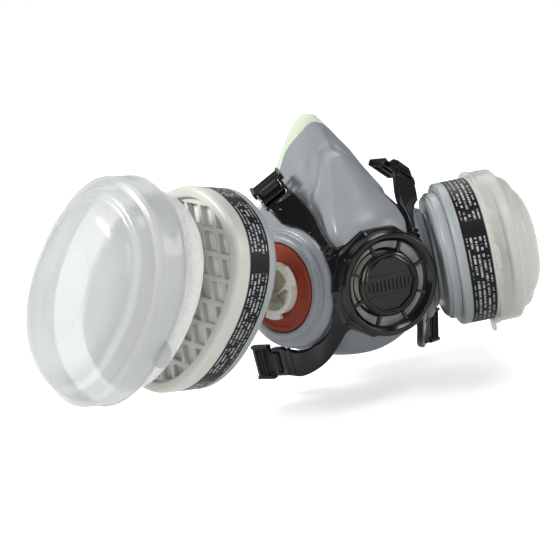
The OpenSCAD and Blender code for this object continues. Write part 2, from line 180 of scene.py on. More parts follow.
def fillet(points, radii, steps=5):
    """Closed 2D profile with its corners rounded, by one radius or one per corner."""
    corners = [np.array(p, float) for p in points]
    rounded = []
    for i, corner in enumerate(corners):
        radius = radii[i] if hasattr(radii, "__len__") else radii
        if radius <= 0:
            rounded.append(corner)
            continue
        before, after = corners[i - 1] - corner, corners[(i + 1) % len(corners)] - corner
        len_before, len_after = np.linalg.norm(before), np.linalg.norm(after)
        half = math.acos(np.clip(before @ after / (len_before * len_after), -1, 1)) / 2
        reach = min(radius / max(math.tan(half), 1e-3), len_before * 0.48, len_after * 0.48)
        start = corner + before / len_before * reach
        end = corner + after / len_after * reach
        for t in np.linspace(0, 1, steps):
            rounded.append((1 - t) ** 2 * start + 2 * t * (1 - t) * corner + t * t * end)
    return rounded


def hermite(start, end, start_slope, end_slope, t):
    t2 = t * t
    t3 = t2 * t
    return (start * (2 * t3 - 3 * t2 + 1) + start_slope * (t3 - 2 * t2 + t)
            + end * (-2 * t3 + 3 * t2) + end_slope * (t3 - t2))


def spline(points, per_span):
    """Smooth curve through the points."""
    points = np.array(points, float)
    last = len(points) - 1
    curve = []
    for i in range(last):
        here, there = points[i], points[i + 1]
        start_slope = (there - points[max(i - 1, 0)]) / 2
        end_slope = (points[min(i + 2, last)] - here) / 2
        for t in np.linspace(0, 1, per_span, endpoint=False):
            curve.append(hermite(here, there, start_slope, end_slope, t))
    curve.append(points[-1])
    return np.array(curve)


def unit_circle(count):
    angle = np.linspace(0, 2 * np.pi, count, endpoint=False)
    return np.cos(angle), np.sin(angle)


def circle_ring(radius, z, count):
    c, s = unit_circle(count)
    return np.stack([radius * c, radius * s, np.full(count, float(z))], 1)


def oval_ring(grow, z, count):
    """The cartridge's outline grown by `grow`, at height z."""
    a, b = CASE_A + grow, CASE_B + grow
    c, s = unit_circle(count)
    r = (np.abs(c / a) ** CASE_POWER + np.abs(s / b) ** CASE_POWER) ** (-1 / CASE_POWER)
    return np.stack([r * c, r * s, np.full(count, z)], 1)


def scaled_ring(share, z, count):
    """The outline shrunk by 20 mm, then scaled about its centre."""
    return oval_ring(-20.0, z, count) * [share, share, 1]


def loft(sections, place, count):
    """Closed loft; each section is a ring function and its (size, height) pairs."""
    return rings_mesh([place.to_world(ring(size, z, count))
                       for ring, pairs in sections for size, z in pairs])


def lathe(profile, place, count):
    """Closed profile of (radius, height) turned about the frame's Z."""
    return loft([(circle_ring, profile)], place, count)


def prism(outline, bottom, top, place, chamfer):
    """Extruded outline with a small chamfer on both rims."""
    outline = np.array(outline, float)
    middle = outline.mean(0)
    shrink = 1 - chamfer / np.abs(outline - middle).max()

    def ring(scale, z):
        points = middle + (outline - middle) * scale
        return place.to_world(np.column_stack([points, np.full(len(points), z)]))

    return rings_mesh([ring(shrink, bottom), ring(1, bottom + chamfer),
                       ring(1, top - chamfer), ring(shrink, top)], capped=True)


def bar(start, end, width, bottom, top, place, chamfer=0.25):
    start, end = np.array(start, float), np.array(end, float)
    along = unit(end - start)
    side = np.array([-along[1], along[0]]) * width / 2
    return prism([start - side, end - side, end + side, start + side],
                 bottom, top, place, chamfer)


def spoke(degrees, inner, outer, width, bottom, top, place, chamfer=0.25):
    """Bar along a radius."""
    angle = math.radians(degrees)
    out = np.array([math.cos(angle), math.sin(angle)])
    return bar(out * inner, out * outer, width, bottom, top, place, chamfer)


def sector(inner, outer, half, middle, bottom, top, place, chamfer=0.2):
    """Piece of a flat ring, `half` degrees to each side of `middle`."""
    angles = np.radians(np.linspace(middle - half, middle + half, 10))
    outline = [(outer * math.cos(t), outer * math.sin(t)) for t in angles]
    outline += [(inner * math.cos(t), inner * math.sin(t)) for t in angles[::-1]]
    return prism(outline, bottom, top, place, chamfer)


# ------------------------------------------------------------------ signed distance fields
def length(*parts):
    return np.sqrt(sum(a * a for a in parts))


def union(a, b, blend):
    h = np.clip(0.5 + 0.5 * (b - a) / blend, 0, 1)
    return b + (a - b) * h - blend * h * (1 - h)


def intersect(a, b, blend):
    return -union(-a, -b, blend)


def carve(solid, tool, blend):
    return intersect(solid, -tool, blend)


def fade(start, end, x):
    """Smooth 0 to 1 as x goes from start to end."""
    t = np.clip((x - start) / (end - start), 0, 1)
    return t * t * (3 - 2 * t)


def bell(x, centre, width):
    return np.exp(-((x - centre) / width) ** 2)


def box_field(point, centre, half, edge):
    """Box with rounded edges, from its centre and half sizes."""
    q = np.abs(point - np.array(centre, float)) - (np.array(half, float) - edge)
    return np.linalg.norm(np.maximum(q, 0), axis=-1) + np.minimum(q.max(-1), 0) - edge


def cylinder_field(r, z, radius, bottom, top, edge):
    a = r - (radius - edge)
    b = np.abs(z - (bottom + top) / 2) - ((top - bottom) / 2 - edge)
    return np.minimum(np.maximum(a, b), 0) + length(np.maximum(a, 0), np.maximum(b, 0)) - edge


def capsule_field(point, start, end, radius):
    axis = end - start
    t = np.clip(((point - start) @ axis) / (axis @ axis), 0, 1)
    return np.linalg.norm(point - start - t[..., None] * axis, axis=-1) - radius


def polygon_field(x, y, outline):
    """Signed distance to a closed 2D polygon."""
    outline = np.array(outline, float)
    squared = np.full(x.shape, 1e18)
    inside = np.zeros(x.shape, bool)
    for i, a in enumerate(outline):
        b = outline[(i + 1) % len(outline)]
        edge = b - a
        if edge @ edge < 1e-12:
            continue
        dx, dy = x - a[0], y - a[1]
        t = np.clip((dx * edge[0] + dy * edge[1]) / (edge @ edge), 0, 1)
        squared = np.minimum(squared, (dx - edge[0] * t) ** 2 + (dy - edge[1] * t) ** 2)
        crosses = (a[1] > y) != (b[1] > y)
        cross_x = a[0] + (y - a[1]) * edge[0] / (edge[1] if edge[1] else 1e-12)
        inside ^= crosses & (x < cross_x)
    return np.where(inside, -1, 1) * np.sqrt(squared)


def oval_field(x, y, grow):
    """About the distance to the cartridge's outline grown by `grow`."""
    a, b, power = CASE_A + grow, CASE_B + grow, CASE_POWER
    ax, ay = np.abs(x) / a + 1e-9, np.abs(y) / b + 1e-9
    s = ax**power + ay**power
    g = s ** (1 / power)
    gx, gy = g / s * ax ** (power - 1) / a, g / s * ay ** (power - 1) / b
    return (g - 1) / np.sqrt(gx * gx + gy * gy)


def sample_field(field, low, step, count):
    """Field values on the grid, read finely only near the surface."""
    block = 4  # fine cells per coarse cell
    batch = 400000
    coarse_count = (count + block - 2) // block + 1
    axes = [low[i] + step * block * np.arange(coarse_count[i]) for i in range(3)]
    grid = np.stack(np.meshgrid(*axes, indexing="ij"), -1)
    coarse = field(grid.reshape(-1, 3)).reshape(coarse_count)
    nearest = np.ix_(*[np.minimum((np.arange(count[i]) + block // 2) // block,
                                  coarse_count[i] - 1) for i in range(3)])
    values = coarse[nearest]
    nodes = np.argwhere((np.abs(coarse) < step * block * 1.9)[nearest])
    points = low + nodes * step
    fine = np.empty(len(points))
    for i in range(0, len(points), batch):
        fine[i : i + batch] = field(points[i : i + batch])
    values[tuple(nodes.T)] = fine
    values[np.abs(values) < 1e-9] = 1e-9
    return values


def cell_points(values, cells, corners):
    """For each cell, the mean of the places where the surface crosses its edges."""
    total = np.zeros((len(cells), 3))
    crossings = np.zeros(len(cells))
    for corner in corners:
        for axis in range(3):
            if corner[axis]:
                continue
            other = list(corner)
            other[axis] = 1
            here = values[tuple((cells + corner).T)]
            there = values[tuple((cells + other).T)]
            crossed = (here < 0) != (there < 0)
            t = np.where(crossed, here / np.where(crossed, here - there, 1), 0)
            place = (cells + corner).astype(float)
            place[:, axis] += t
            total[crossed] += place[crossed]
            crossings[crossed] += 1
    return total / crossings[:, None]


def cell_faces(inside, cell_index, count):
    """A quad round every grid edge that crosses the surface."""
    faces = []
    for axis in range(3):
        a, b = (axis + 1) % 3, (axis + 2) % 3
        first, second = np.delete(inside, -1, axis), np.delete(inside, 0, axis)
        edges = np.argwhere(first != second)
        edges = edges[(edges[:, a] > 0) & (edges[:, b] > 0)
                      & (edges[:, a] < count[a] - 1) & (edges[:, b] < count[b] - 1)]
        outward = first[tuple(edges.T)]
        step_a, step_b = np.eye(3, dtype=int)[[a, b]]
        quads = np.stack([cell_index[tuple((edges - back).T)]
                          for back in (0 * step_a, step_a, step_a + step_b, step_b)], 1)
        quads[~outward] = quads[~outward][:, ::-1]
        faces.append(quads)
    return np.concatenate(faces).tolist()


def pull_to_surface(field, points, step):
    """One damped step along the field's gradient."""
    probe = 0.04
    distance = field(points)
    gradient = np.empty_like(points)
    for axis in range(3):
        ahead, behind = points.copy(), points.copy()
        ahead[:, axis] += probe
        behind[:, axis] -= probe
        gradient[:, axis] = (field(ahead) - field(behind)) / (2 * probe)
    steepness = np.maximum((gradient * gradient).sum(1), 0.2)
    move = np.clip(distance, -step * 0.6, step * 0.6) / steepness
    return points - gradient * move[:, None] * 0.9


def mesh_field(field, low, high, step, pulls=2):
    """Surface nets on a grid, then every point pulled onto the surface."""
    low, high = np.array(low, float), np.array(high, float)
    count = np.ceil((high - low) / step).astype(int) + 1
    values = sample_field(field, low, step, count)
    inside = values < 0
    corners = [(a, b, c) for a in (0, 1) for b in (0, 1) for c in (0, 1)]
    nx, ny, nz = count - 1
    total = sum(inside[a : a + nx, b : b + ny, c : c + nz].astype(np.int8)
                for a, b, c in corners)
    cells = np.argwhere((total > 0) & (total < 8))
    cell_index = np.full(total.shape, -1)
    cell_index[tuple(cells.T)] = np.arange(len(cells))
    points = low + cell_points(values, cells, corners) * step
    faces = cell_faces(inside, cell_index, count)
    for _ in range(pulls):
        points = pull_to_surface(field, points, step)
    return points, faces


# ------------------------------------------------------------------ facepiece surface
# Columns: height, half width, front y, back y, exponent of the rounded section.
STATIONS = np.array([
    [-43, 11, -36, -16, 2.0],
    [-40, 25.5, -46, -13, 2.0],
    [-33, 37, -54.5, -9, 2.1],
    [-20, 0.92 * CHEEK, -0.93 * FRONT, -3, 2.2],
    [0, CHEEK, -FRONT, 2, 2.3],
    [15, 0.95 * CHEEK, -FRONT, 3, 2.2],
    [28, 38.8, -62.5, 3, 2.0],
    [40, 29.3, -50.3, 1.4, 1.85],
    [52, 21.6, -36.9, 0.4, 1.8],
    [64, 15.6, -22.8, 0.6, 1.8],
    [74, 9.0, -10.8, 0.9, 1.9],
    [NOSE, 3.5, -3.6, 1.0, 2]])
LEVELS = STATIONS[:, 0]
HALF_WIDTH, FRONT_Y, BACK_Y, POWER = range(4)  # columns after the height


def fine_stations(heights):
    """The stations' other columns, curved smoothly between the levels."""
    values = STATIONS[:, 1:]
    slopes = np.empty_like(values)
    slopes[0] = (values[1] - values[0]) / (LEVELS[1] - LEVELS[0])
    slopes[-1] = (values[-1] - values[-2]) / (LEVELS[-1] - LEVELS[-2])
    slopes[1:-1] = (values[2:] - values[:-2]) / (LEVELS[2:] - LEVELS[:-2])[:, None]
    i = np.clip(np.searchsorted(LEVELS, heights, side="right") - 1, 0, len(LEVELS) - 2)
    span = (LEVELS[i + 1] - LEVELS[i])[:, None]
    t = (heights - LEVELS[i])[:, None] / span
    return hermite(values[i], values[i + 1], slopes[i] * span, slopes[i + 1] * span, t).T


FINE_LEVELS = np.linspace(LEVELS[0], LEVELS[-1], 2461)  # every 0.05 mm
FINE_COLUMNS = fine_stations(FINE_LEVELS)


def station(z, column):
    return np.interp(z, FINE_LEVELS, FINE_COLUMNS[column])


def section_gauge(x, y, z):
    """Negative inside the facepiece's section at height z, zero on it; not a distance."""
    half_width = np.maximum(station(z, HALF_WIDTH), 0.8)
    front, back, power = station(z, FRONT_Y), station(z, BACK_Y), station(z, POWER)
    u = np.abs(x) / half_width + 1e-6
    v = np.maximum((back - y) / np.maximum(back - front, 1), 0) + 1e-6
    return (u**power + v**power) ** (1 / power) - 1


def plain_field(point):
    """About the signed distance to the facepiece's plain outer surface."""
    x, y, z = point.T
    e = 0.25
    g = section_gauge(x, y, z)
    gx = (section_gauge(x + e, y, z) - g) / e
    gy = (section_gauge(x, y + e, z) - g) / e
    gz = (section_gauge(x, y, z + e) - section_gauge(x, y, z - e)) / (2 * e)
    d = g / np.maximum(np.sqrt(gx * gx + gy * gy + gz * gz), 0.008)
    d = intersect(d, LEVELS[0] - z, blend=3.0)
    return intersect(d, z - LEVELS[-1], blend=2.0)


# ------------------------------------------------------------------ materials
class Graph:
    """A node tree with short ways to add nodes. Inputs are numbers, tuples or sockets."""

    def __init__(self, owner):
        owner.use_nodes = True
        self.tree = owner.node_tree

    def fill(self, node, inputs):
        for key, value in inputs.items():
            socket = node.inputs[key]
            if isinstance(value, bpy.types.NodeSocket):
                self.tree.links.new(value, socket)
            elif isinstance(value, tuple):  # alpha 1 is added where a colour needs it
                socket.default_value = (*value, 1)[:len(socket.default_value)]
            else:
                socket.default_value = value

    def surface(self, **inputs):
        """Fill inputs of the Principled shader; underscores stand for spaces."""
        named = {key.replace("_", " "): value for key, value in inputs.items()}
        self.fill(self.tree.nodes["Principled BSDF"], named)

    def node(self, kind, inputs=None, **settings):
        node = self.tree.nodes.new("ShaderNode" + kind)
        for key, value in settings.items():
            setattr(node, key, value)
        self.fill(node, inputs or {})
        return node

    def object_coords(self):
        return self.node("TexCoord").outputs["Object"]

    def noise(self, vector, scale, detail=4, rough=0.55, distortion=0.0):
        return self.node("TexNoise", {"Scale": scale, "Detail": detail, "Roughness": rough,
                                      "Distortion": distortion,
                                      "Vector": vector}).outputs["Fac"]

    def ramp(self, source, stops):
        node = self.node("ValToRGB", {0: source})
        elements = node.color_ramp.elements
        while len(elements) < len(stops):
            elements.new(0.5)
        for element, (position, color) in zip(elements, stops):
            element.position = position
            element.color = (*color, 1)
        return node.outputs[0]

    def map(self, value, span, to):
        return self.node("MapRange", {"From Min": span[0], "From Max": span[1], "To Min": to[0],
                                      "To Max": to[1], "Value": value}).outputs[0]

    def math(self, operation, *values):
        return self.node("Math", dict(enumerate(values)), operation=operation).outputs[0]

    def both(self, a, b):
        return self.math("MULTIPLY", a, b)

    def between(self, value, low, high):
        """1 where the value lies between low and high, else 0."""
        return self.both(self.math("GREATER_THAN", value, low),
                         self.math("LESS_THAN", value, high))

    def mix(self, factor, a, b):
        return self.node("Mix", {0: factor, 6: a, 7: b}, data_type="RGBA").outputs[2]

    def bump(self, height, strength, distance):
        out = self.node("Bump", {"Strength": strength, "Distance": distance,
                                 "Height": height}).outputs[0]
        self.surface(Normal=out)
        return out


def srgb(*channels):
    """Linear colour from 0-255 display values."""
    shares = [v / 255 for v in channels]
    return tuple(v / 12.92 if v <= 0.04045 else ((v + 0.055) / 1.055) ** 2.4 for v in shares)


def plastic(name, color, rough, drift, grain, bump, edge_highlight, edge_highlight_color=None, specular=0.5,
            smudge=0.12):
    """Moulded surface: colour drift, fine grain, smudged roughness, convex edges lightened as a
    painted highlight.
    """
    material = bpy.data.materials.new(name)
    g = Graph(material)
    coords = g.object_coords()
    broad = g.noise(coords, scale=28, detail=3)
    fine = g.noise(coords, scale=grain, detail=3, rough=0.6)
    dark = tuple(c * (1 - drift) for c in color)
    light = tuple(min(1, c * (1 + drift)) for c in color)
    base = g.ramp(broad, [(0.3, dark), (0.7, light)])
    base = g.mix(g.map(fine, span=(0.35, 0.7), to=(0.0, 0.25)), base, dark)
    # painted highlight: convex edges (high pointiness) lightened, broken up by fine noise
    pointiness = g.node("NewGeometry").outputs["Pointiness"]
    edge = g.map(pointiness, span=(0.51, 0.60), to=(0.0, edge_highlight))
    edge_highlight_breakup = g.noise(coords, scale=140, detail=5, rough=0.7)
    edge = g.both(edge, g.map(edge_highlight_breakup, span=(0.42, 0.6), to=(0.0, 1.0)))
    base = g.mix(edge, base, edge_highlight_color or tuple(min(1, c * 1.5 + 0.05) for c in color))
    smears = g.noise(coords, scale=55, detail=5, rough=0.6, distortion=0.6)
    gloss = g.map(smears, span=(0.3, 0.7),
                  to=(max(0.02, rough - smudge), min(1, rough + smudge)))
    g.bump(fine, strength=bump, distance=0.0004)
    g.surface(Base_Color=base, Roughness=gloss, Specular_IOR_Level=specular,
              Coat_Roughness=0.08)
    return material


def felt(name):
    """Needled white fibre: fine twisted noise over broad clumps."""
    material = bpy.data.materials.new(name)
    g = Graph(material)
    coords = g.object_coords()
    fibres = g.noise(coords, scale=900, detail=8, rough=0.75, distortion=1.4)
    clumps = g.noise(coords, scale=120, detail=4, rough=0.6, distortion=0.5)
    color = g.ramp(fibres, [(0.3, srgb(206, 207, 203)), (0.5, srgb(238, 238, 235)),
                            (0.75, srgb(250, 250, 248))])
    color = g.mix(g.map(clumps, span=(0.35, 0.65), to=(0, 0.35)), color, srgb(222, 223, 220))
    g.surface(Base_Color=color, Roughness=0.95, Sheen_Weight=0.35, Sheen_Roughness=0.6,
              Subsurface_Weight=0.25, Subsurface_Radius=(1, 1, 1), Subsurface_Scale=0.003)
    height = g.math("ADD", fibres, g.math("MULTIPLY", clumps, 1.5))
    g.bump(height, strength=0.55, distance=0.0006)
    return material


def milky(name, tint, opacity, rough):
    """Thin translucent moulding: see-through share, scattered light, soft gloss."""
    material = bpy.data.materials.new(name)
    g = Graph(material)
    coords = g.object_coords()
    broad = g.noise(coords, scale=35, detail=3)
    color = g.ramp(broad, [(0.3, tuple(c * 0.95 for c in tint)), (0.7, tint)])
    smears = g.noise(coords, scale=70, detail=5, rough=0.65, distortion=0.5)
    g.surface(Base_Color=color,
              Roughness=g.map(smears, span=(0.3, 0.7), to=(rough - 0.08, rough + 0.14)))
    facing = g.node("LayerWeight", {"Blend": 0.35}).outputs["Facing"]
    solid_share = g.map(facing, span=(0.0, 0.9), to=(opacity, min(1.0, opacity + 0.4)))
    fine = g.noise(coords, scale=220, detail=3)
    normal = g.bump(fine, strength=0.12, distance=0.0006)
    glow = g.node("BsdfTranslucent", {"Color": color, "Normal": normal}).outputs[0]
    clear = g.node("BsdfTransparent").outputs[0]
    gloss = g.tree.nodes["Principled BSDF"].outputs[0]
    body = g.node("MixShader", {0: 0.38, 1: gloss, 2: glow}).outputs[0]
    whole = g.node("MixShader", {0: solid_share, 1: clear, 2: body}).outputs[0]
    g.fill(g.tree.nodes["Material Output"], {"Surface": whole})
    return material


def printed_band(name):
    """Black band with rows of broken grey bars. The UV map is in mm."""
    rows_per_mm = 1 / 2.25
    material = bpy.data.materials.new(name)
    g = Graph(material)
    uv = g.node("UVMap", uv_map="band").outputs[0]
    split = g.node("SeparateXYZ", {0: uv})
    around, across = split.outputs[0], split.outputs[1]

    def row_random(column, row, row_scale, floored):
        cell = g.node("CombineXYZ", {0: column,
                                     1: g.math("MULTIPLY", row, row_scale)}).outputs[0]
        if floored:
            cell = g.node("VectorMath", {0: cell}, operation="FLOOR").outputs[0]
        return g.node("TexWhiteNoise", {"Vector": cell},
                      noise_dimensions="2D").outputs["Value"]

    in_row = g.math("FRACT", g.math("MULTIPLY", across, rows_per_mm))
    bars = g.between(in_row, 0.28, 0.74)
    row = g.math("FLOOR", g.math("MULTIPLY", across, rows_per_mm))
    dash_noise = row_random(g.math("MULTIPLY", around, 2.1), row, 7.31, floored=True)
    dashes = g.math("GREATER_THAN", dash_noise, 0.36)
    gap_column = g.math("FLOOR", g.math("MULTIPLY", around, 0.62))
    gap_noise = row_random(gap_column, row, 3.17, floored=False)
    long_gaps = g.math("GREATER_THAN", gap_noise, 0.15)
    in_block = g.math("FRACT", g.math("MULTIPLY", around, 1 / 62.0))  # blocks 62 mm long
    blocks = g.between(in_block, 0.07, 0.93)
    margins = g.between(across, 1.2, 10.4)
    ink = g.both(g.both(bars, dashes), g.both(g.both(long_gaps, blocks), margins))
    coords = g.object_coords()
    worn = g.noise(coords, scale=260, detail=4, rough=0.6)
    ink = g.both(ink, g.map(worn, span=(0.3, 0.55), to=(0.35, 0.85)))
    broad = g.noise(coords, scale=40, detail=3)
    black = g.ramp(broad, [(0.3, srgb(10, 10, 12)), (0.7, srgb(20, 20, 23))])
    color = g.mix(ink, black, srgb(190, 192, 194))
    smears = g.noise(coords, scale=60, detail=4)
    g.surface(Base_Color=color, Specular_IOR_Level=0.22,
              Roughness=g.map(smears, span=(0.3, 0.7), to=(0.34, 0.5)))
    g.bump(worn, strength=0.08, distance=0.0003)
    return material


def granules(name):
    material = bpy.data.materials.new(name)
    g = Graph(material)
    grain = g.node("TexVoronoi", {"Scale": 700,
                                  "Vector": g.object_coords()}).outputs["Distance"]
    color = g.ramp(grain, [(0.0, srgb(52, 52, 54)), (0.6, srgb(14, 14, 15))])
    g.surface(Base_Color=color, Roughness=g.map(grain, span=(0, 0.6), to=(0.45, 0.85)))
    g.bump(grain, strength=0.8, distance=0.0012)
    return material


SOFT_GREY = plastic("soft_grey_elastomer", srgb(138, 142, 147), rough=0.36, drift=0.04,
                    grain=900, bump=0.10, edge_highlight=0.10, smudge=0.07)
CLEAR_LIP = milky("clear_silicone", srgb(232, 242, 222), opacity=0.62, rough=0.32)
GLOSS_BLACK = plastic("glossy_black_plastic", srgb(10, 10, 12), rough=0.19, drift=0.2,
                      grain=700, bump=0.05, edge_highlight=0.12, edge_highlight_color=srgb(40, 40, 43),
                      smudge=0.07, specular=0.46)
BUCKLE_BLACK = plastic("black_strap_buckle_plastic", srgb(13, 13, 15), rough=0.32, drift=0.2,
                       grain=800, bump=0.10, edge_highlight=0.2, edge_highlight_color=srgb(52, 52, 55),
                       smudge=0.08, specular=0.32)
GASKET_RED = plastic("red_brown_gasket", srgb(136, 52, 32), rough=0.62, drift=0.10,
                     grain=1100, bump=0.16, edge_highlight=0.2, edge_highlight_color=srgb(176, 88, 62),
                     smudge=0.08, specular=0.3)
OFF_WHITE = plastic("off_white_moulding", srgb(214, 212, 202), rough=0.42, drift=0.03,
                    grain=600, bump=0.05, edge_highlight=0.15, smudge=0.08)
CASE_GREY = plastic("cartridge_grey_moulding", srgb(152, 158, 160), rough=0.36, drift=0.03,
                    grain=650, bump=0.05, edge_highlight=0.2, smudge=0.08)
CREAM = plastic("cream_front_moulding", srgb(196, 198, 190), rough=0.38, drift=0.03,
                grain=650, bump=0.05, edge_highlight=0.2, smudge=0.08)
PAD_FELT = felt("needled_felt")
RETAINER_MILKY = {
    LEFT: milky("milky_polypropylene", srgb(208, 211, 211), opacity=0.44, rough=0.13),
    RIGHT: milky("cream_milky_polypropylene", srgb(226, 228, 222), opacity=0.38, rough=0.14)}
FLAP = plastic("valve_silicone", srgb(206, 198, 176), rough=0.5, drift=0.05, grain=900,
               bump=0.05, edge_highlight=0.1)
CARBON = granules("carbon_granules")
SCREEN = plastic("screen_mesh_plastic", srgb(214, 213, 205), rough=0.5, drift=0.05,
                 grain=900, bump=0.3, edge_highlight=0.1)
FLANGE_PALE = plastic("valve_flange_pale_plastic", srgb(176, 178, 178), rough=0.22,
                      drift=0.05, grain=600, bump=0.03, edge_highlight=0.1, smudge=0.06)
SCRIM_FELT = felt("filter_scrim")
BAND_PRINT = printed_band("printed_black_band")

# ------------------------------------------------------------------ facepiece
# Edges of the right-hand yoke arms (x, y, z), from the housing out to the buckle.
ARM_EDGES = {
    "upper": ([[15.5, -67, 9], [20, -66.3, 15.5], [23.6, -58, 25], [24.2, -48.5, 36],
               [27.8, -40.5, 44], [31.8, -33.7, 50.3]],
              [[24.5, -64, -1], [29.2, -61.5, 8], [33.8, -50.5, 21.5], [37.9, -42.5, 31.1],
               [40.9, -36, 37.5], [43.0, -29.2, 42.6]]),
    "lower": ([[24.5, -66.5, 4], [26.2, -64.5, -12], [28, -58.5, -23.5], [32, -48, -30.5],
               [37.4, -40.5, -33.6], [43.6, -31.2, -32.4]],
              [[17, -67.5, -8], [20.5, -66, -20], [25.9, -56.5, -34], [30.5, -47.5, -42.4],
               [36, -39, -47.2], [42, -32, -46.6]])}


def mirrored_outline(right_half):
    """Closed (x, z) outline from its right half, with tighter corners on the centre line."""
    loop = right_half + [(-x, z) for x, z in reversed(right_half) if x > 0]
    return fillet(loop, [1.2 if abs(x) < 1 else 2.0 for x, z in loop], steps=4)


PANEL = mirrored_outline([
    (0, 8), (11, 9), (17.6, 13.6), (21.6, 19.6), (21.9, 24.5), (19.2, 34), (15.2, 42),
    (11.2, 51), (8.2, 57), (4.6, 60.8), (0, 61.8)])
RIDGE = mirrored_outline([
    (0, -6), (27, 4), (28.6, 18), (25.6, 30), (20.6, 39), (15.2, 47), (9.8, 56), (4.4, 65),
    (1.6, 70), (0, 70.6)])
# Area under the upper arm, (x, z).
ARM_FOOT = ([(x, z) for x, y, z in ARM_EDGES["upper"][0]] + [(37, 57), (50, 48)]
            + [(x, z) for x, y, z in reversed(ARM_EDGES["upper"][1])])
# Section of the port surround: (radius, height along the port).
BOSS = [[BORE_R, -9.5], [28.5, -9.5], [31.0, -8.4], [31.5, -6.4], [30.7, -4.7], [28.4, -3.1],
        [27.6, -3.5], [26.8, -3.1], [26.3, -1.3], [25.6, -0.55], [24.4, -0.25],
        [23.2, -0.25], [22.55, -0.8], [22.5, -GASKET_DEPTH], [BORE_R, -GASKET_DEPTH]]


def lip_band(z):
    """Depth of the clear band at the facepiece's back edge; wider towards the nose."""
    return 2.6 + 5.6 * fade(60, 74, z)


def port_coords(point):
    """Radius and height about the port, both sides folded onto the right one."""
    x, y, z = point.T
    u, v, height = PORT[RIGHT].to_local(np.stack([np.abs(x), y, z], -1)).T
    return length(u, v), height


def front_relief(x, z):
    """How far the front stands proud of the plain surface."""
    to_panel, to_ridge = polygon_field(x, z, PANEL), polygon_field(x, z, RIDGE)
    upper = fade(16, 28, z) * fade(70, 58, z)
    lift = 3.3 * fade(0.8, -2.4, to_panel)
    shoulder = 1.5 * fade(-2.4, 2.4, to_ridge) * fade(18, 2, to_ridge)
    lift = lift + (1.3 * bell(to_ridge, centre=0.4, width=1.8) + shoulder) * upper
    # dished flank between panel and ridge, and a soft keel above the panel
    lift = lift - 1.3 * bell(to_panel, centre=2.6, width=2.0) * upper
    lift = lift + 0.7 * bell(x, centre=0, width=3.0) * fade(56, 66, z) * fade(76, 70, z)
    # nothing raised where the arms lie
    return lift * fade(0.6, 5.4, polygon_field(np.abs(x), z, ARM_FOOT))


def facepiece_field(point):
    x, y, z = point.T
    plain = plain_field(point)
    outer = plain.copy()
    near = (plain > -9) & (plain < 9) & (y < 0)
    outer[near] -= front_relief(x[near], z[near]) * fade(-4, -14, y[near])
    d = carve(outer, plain + WALL, blend=0.8)
    d = intersect(d, y - (station(z, BACK_Y) - lip_band(z)), blend=0.9)
    r, height = port_coords(point)
    near = (r < 46) & (height > -22) & (height < 12)
    boss = np.full(x.shape, 60.0)
    boss[near] = polygon_field(r[near], height[near], BOSS)
    d = union(d, boss, blend=3.4)
    bore = np.maximum(np.maximum(r - BORE_R, height - 10), -32 - height)
    d = carve(d, bore, blend=0.5)
    recess = np.maximum(np.maximum(r - (GASKET_R + 0.35), -GASKET_DEPTH - height), height - 6)
    d = carve(d, recess, blend=0.25)
    valve_hole = np.maximum(length(x, z) - 17.4, y + 48)
    return carve(d, valve_hole, blend=0.5)


def lip_field(point):
    x, y, z = point.T
    back = station(z, BACK_Y)
    plain = plain_field(point)
    band = intersect(plain + 0.12, -(plain + 2.35), blend=0.5)
    ends = np.maximum((back - lip_band(z) + 0.12) - y, y - (back + 0.4))
    band = intersect(band, ends, blend=0.7)
    # flange turned inwards from the back edge, rolled at its inner rim
    width, half = 7.2, 0.95
    behind = point.copy()
    behind[:, 1] = np.maximum(y, back + 0.01)
    inward = -plain_field(behind)
    middle_y = back + 3.3 * fade(-1.0, 5.5, inward) - 0.6 * fade(5.0, 7.5, inward)
    dx = np.abs(inward - width / 2) - (width / 2 - 0.9)
    dy = np.abs(y - middle_y)
    flange = np.minimum(np.maximum(dx, dy), 0) + length(np.maximum(dx, 0), dy) - half
    return union(band, flange, blend=1.6)


make("facepiece_shell_soft",
     mesh_field(facepiece_field, [-58, -73, -47], [58, 6, 83], step=0.8 * GRID_SCALE),
     SOFT_GREY, "facepiece", "facepiece_shell")
make("face_seal_lip_clear",
     mesh_field(lip_field, [-54, -20, -47], [54, 11, 84], step=0.7 * GRID_SCALE),
     CLEAR_LIP, "facepiece", "face_seal_lip")


# ------------------------------------------------------------------ yoke
def arm_curves(top, bottom):
    """Smoothed edges of an arm and the outward normals between them."""
    top, bottom = spline(top, per_span=7), spline(bottom, per_span=7)
    normals = np.cross(np.gradient(top + bottom, axis=0), bottom - top)
    normals /= np.linalg.norm(normals, axis=1)[:, None]
    normals *= np.sign(-normals[:, 1])[:, None]
    return top, bottom, normals


def arm_sheet(top, bottom, inset=0.8, strips=6):
    """Middle surface of an arm, drawn in from its edges and sunk by half its thickness."""
    top, bottom, normals = arm_curves(top, bottom)
    across = bottom - top
    across = across / np.linalg.norm(across, axis=1)[:, None]
    top = top + across * inset - normals * ARM_HALF
    bottom = bottom - across * inset - normals * ARM_HALF
    points = np.concatenate([top + (bottom - top) * k / strips for k in range(strips + 1)])
    n = len(top)
    faces = [(k * n + i, k * n + i + 1, (k + 1) * n + i + 1, (k + 1) * n + i)
             for k in range(strips) for i in range(n - 1)]
    return BVHTree.FromPolygons([tuple(p) for p in points], faces)


def arm_end_frame(top, bottom):
    """Frame at an arm's free end: X across the arm, Y onwards along it, Z outwards."""
    top, bottom = np.array(top), np.array(bottom)
    x = unit(bottom[5] - top[5])
    along = top[5] + bottom[5] - top[4] - bottom[4]
    y = unit(along - x * (along @ x))
    z = np.cross(x, y)
    if z[1] > 0:
        z = -z
    x = np.cross(y, z)
    origin = (top[5] + bottom[5]) / 2 - z * ARM_HALF + y * 3.2
    return Frame(origin, np.array([x, y, z]).T)


ARM_END = {key: arm_end_frame(*edges) for key, edges in ARM_EDGES.items()}
ARM_SHEET = {key: arm_sheet(*edges) for key, edges in ARM_EDGES.items()}


